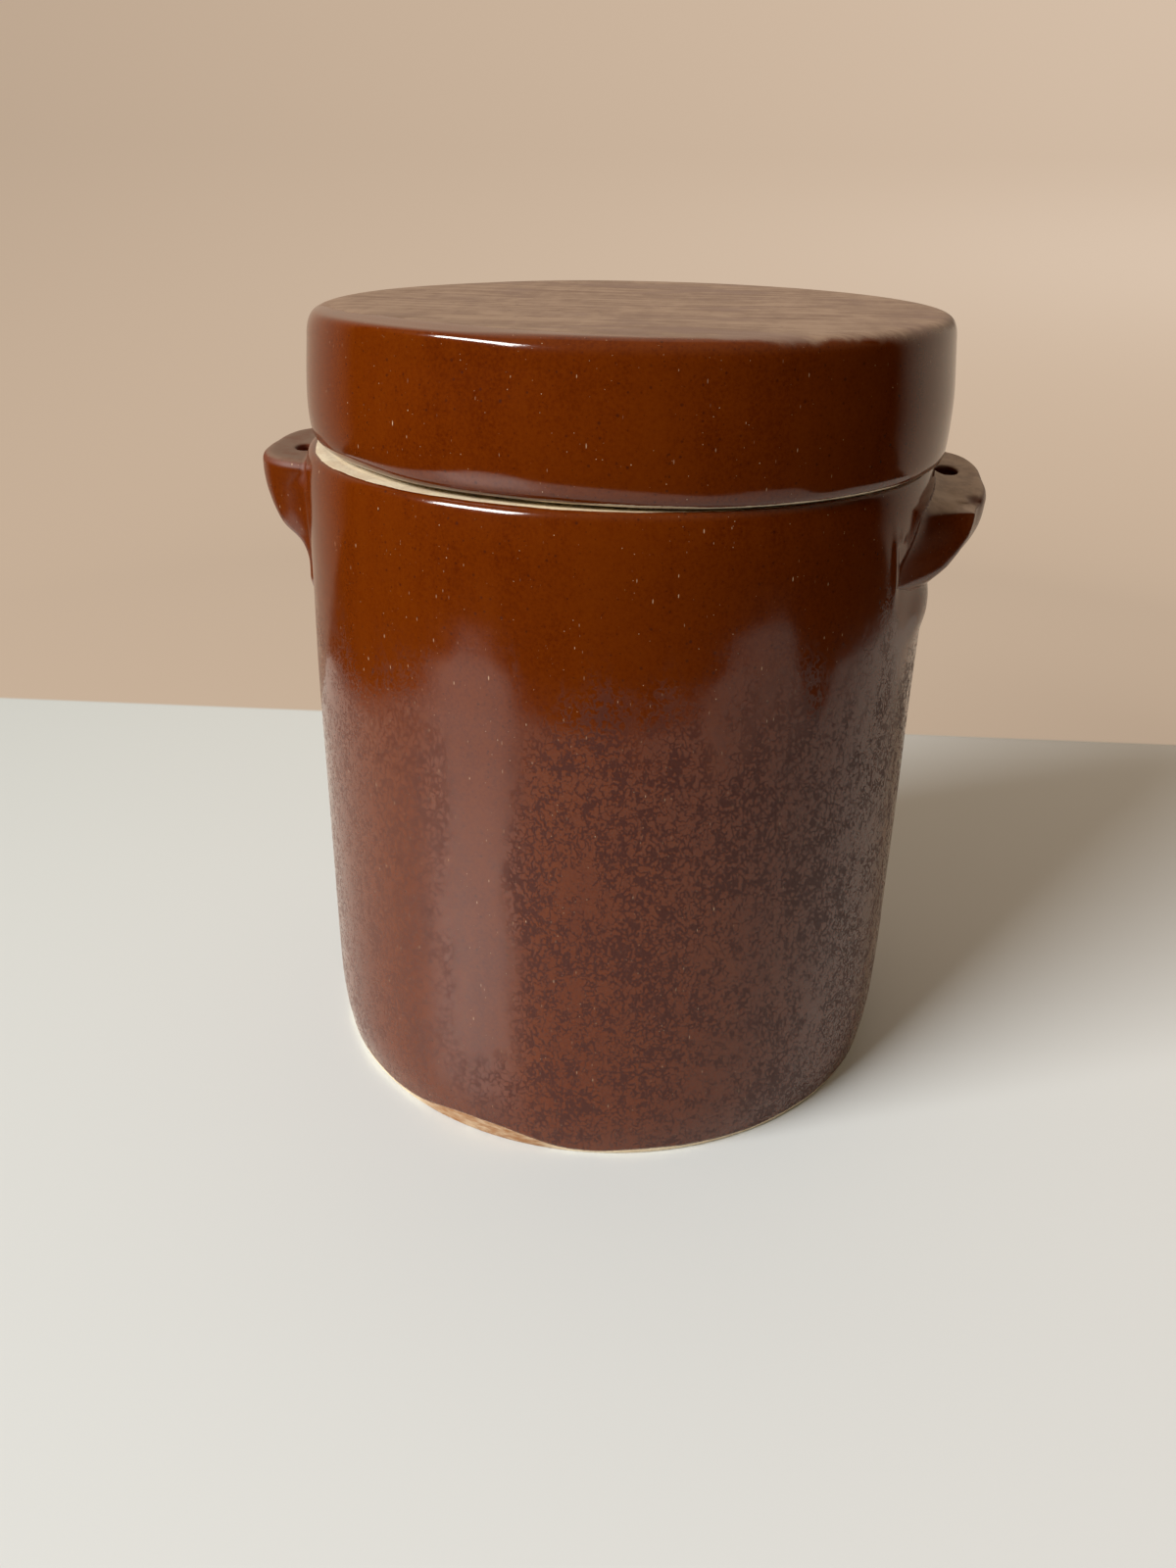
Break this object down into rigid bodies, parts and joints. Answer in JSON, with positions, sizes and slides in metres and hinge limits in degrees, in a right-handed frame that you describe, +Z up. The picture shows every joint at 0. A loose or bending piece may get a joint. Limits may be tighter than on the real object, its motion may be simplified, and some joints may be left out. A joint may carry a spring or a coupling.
{
  "type": "lidded stoneware crock",
  "caption": "Straight-sided glazed stoneware storage crock with a loose flat cap lid and pierced lugs on both sides of the rim.",
  "frame": {"origin": "centre of the flat foot, on the surface the crock stands on", "axes": "+Z up; the lugs lie along X, the one on the left of the picture at -X; -Y is the side the picture shows, and its camera stands 5.6 degrees round from -Y towards +X"},
  "size_m": [0.2231, 0.1954, 0.2414],
  "materials": {
    "jar_glaze": "glossy red-brown glaze with fine specks; bare cream clay on the ledge and the foot",
    "lug_glaze": "glossy red-brown glaze",
    "lid_glaze": "glossy red-brown glaze, a little duller on the flat top"
  },
  "bodies": {
    "crock": {"crock_body": "jar_glaze", "lug_left": "lug_glaze", "lug_right": "lug_glaze"},
    "lid": {"lid": "lid_glaze"}
  },
  "joints": [
    {"name": "lid_lift", "type": "slide", "parent": "crock", "child": "lid", "axis": [0, 0, 1], "range_m": [0, 0.06]}
  ]
}
